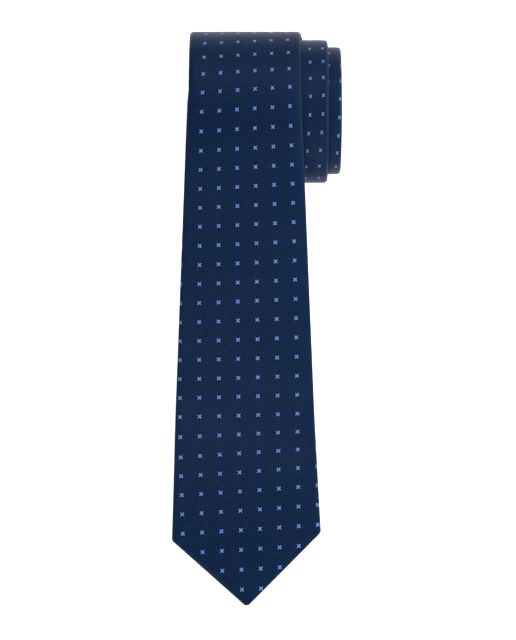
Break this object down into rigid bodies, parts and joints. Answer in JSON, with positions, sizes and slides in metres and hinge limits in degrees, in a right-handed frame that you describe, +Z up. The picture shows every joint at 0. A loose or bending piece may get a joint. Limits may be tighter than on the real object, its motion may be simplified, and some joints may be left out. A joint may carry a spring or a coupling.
{
  "type": "necktie",
  "caption": "Gentleman's lined silk necktie rolled up from its tail, lying with the pointed blade led off the roll down to the table.",
  "frame": {"origin": "middle of the footprint, on the table that the tie lies on", "axes": "+Y from the blade's point towards the roll, +Z up off the table, +X to the right as the blade is looked at from above with its point nearest"},
  "size_m": [0.0842, 0.2834, 0.055],
  "materials": {
    "silk": "navy jacquard twill with a small light-blue woven cross figure, satin sheen",
    "interlining": "brushed natural wool felt",
    "tipping": "plain navy satin lining",
    "thread": "navy sewing thread",
    "label": "blank dark woven satin label",
    "care": "blank off-white satin ribbon"
  },
  "bodies": {
    "outer_turn": {"outer_turn_shell": "silk", "outer_turn_interlining": "interlining", "outer_turn_slip_stitch": "thread"},
    "blade_upper": {"blade_upper_shell": "silk", "blade_upper_interlining": "interlining", "blade_upper_slip_stitch": "thread", "keeper_loop": "silk", "keeper_stitch_left": "thread", "keeper_stitch_right": "thread", "maker_label": "label", "label_stitch_left": "thread", "label_stitch_right": "thread"},
    "blade_middle": {"blade_middle_shell": "silk", "blade_middle_interlining": "interlining", "blade_middle_slip_stitch": "thread", "care_label_stitch": "thread"},
    "blade_tip": {"blade_tip_shell": "silk", "blade_tip_interlining": "interlining", "blade_tip_slip_stitch": "thread", "blade_tipping": "tipping", "blade_bar_tack": "thread"},
    "care_label": {"care_label": "care"},
    "middle_turn": {"middle_turn_shell": "silk", "middle_turn_interlining": "interlining", "middle_turn_slip_stitch": "thread"},
    "inner_turns": {"neck_shell": "silk", "neck_interlining": "interlining", "neck_slip_stitch": "thread", "tail_shell": "silk", "tail_interlining": "interlining", "tail_slip_stitch": "thread", "tail_tipping": "tipping", "tail_bar_tack": "thread", "blade_to_neck_seam": "thread", "neck_to_tail_seam": "thread"}
  },
  "joints": [
    {"name": "blade_lift", "type": "hinge", "parent": "outer_turn", "child": "blade_upper", "pos_m": [-0.00464, 0.09657, 0.0546], "axis": [-1, 0, 0], "range_deg": [0, 110]},
    {"name": "blade_fold", "type": "hinge", "parent": "blade_upper", "child": "blade_middle", "pos_m": [-0.00464, 0.03893, 0.03942], "axis": [-1, 0, 0], "range_deg": [0, 90]},
    {"name": "tip_fold", "type": "hinge", "parent": "blade_middle", "child": "blade_tip", "pos_m": [-0.00464, -0.03187, 0.01912], "axis": [-1, 0, 0], "range_deg": [0, 90]},
    {"name": "care_label_flap", "type": "hinge", "parent": "blade_middle", "child": "care_label", "pos_m": [-0.00464, 0.00554, 0.02652], "axis": [1, 0, 0], "range_deg": [-8, 150], "stiffness_Nm_per_rad": 0.0005},
    {"name": "middle_turn_slide", "type": "slide", "parent": "outer_turn", "child": "middle_turn", "axis": [1, 0, 0], "range_m": [-0.006, 0.006]},
    {"name": "inner_turns_slide", "type": "slide", "parent": "middle_turn", "child": "inner_turns", "axis": [1, 0, 0], "range_m": [-0.006, 0.006]}
  ]
}
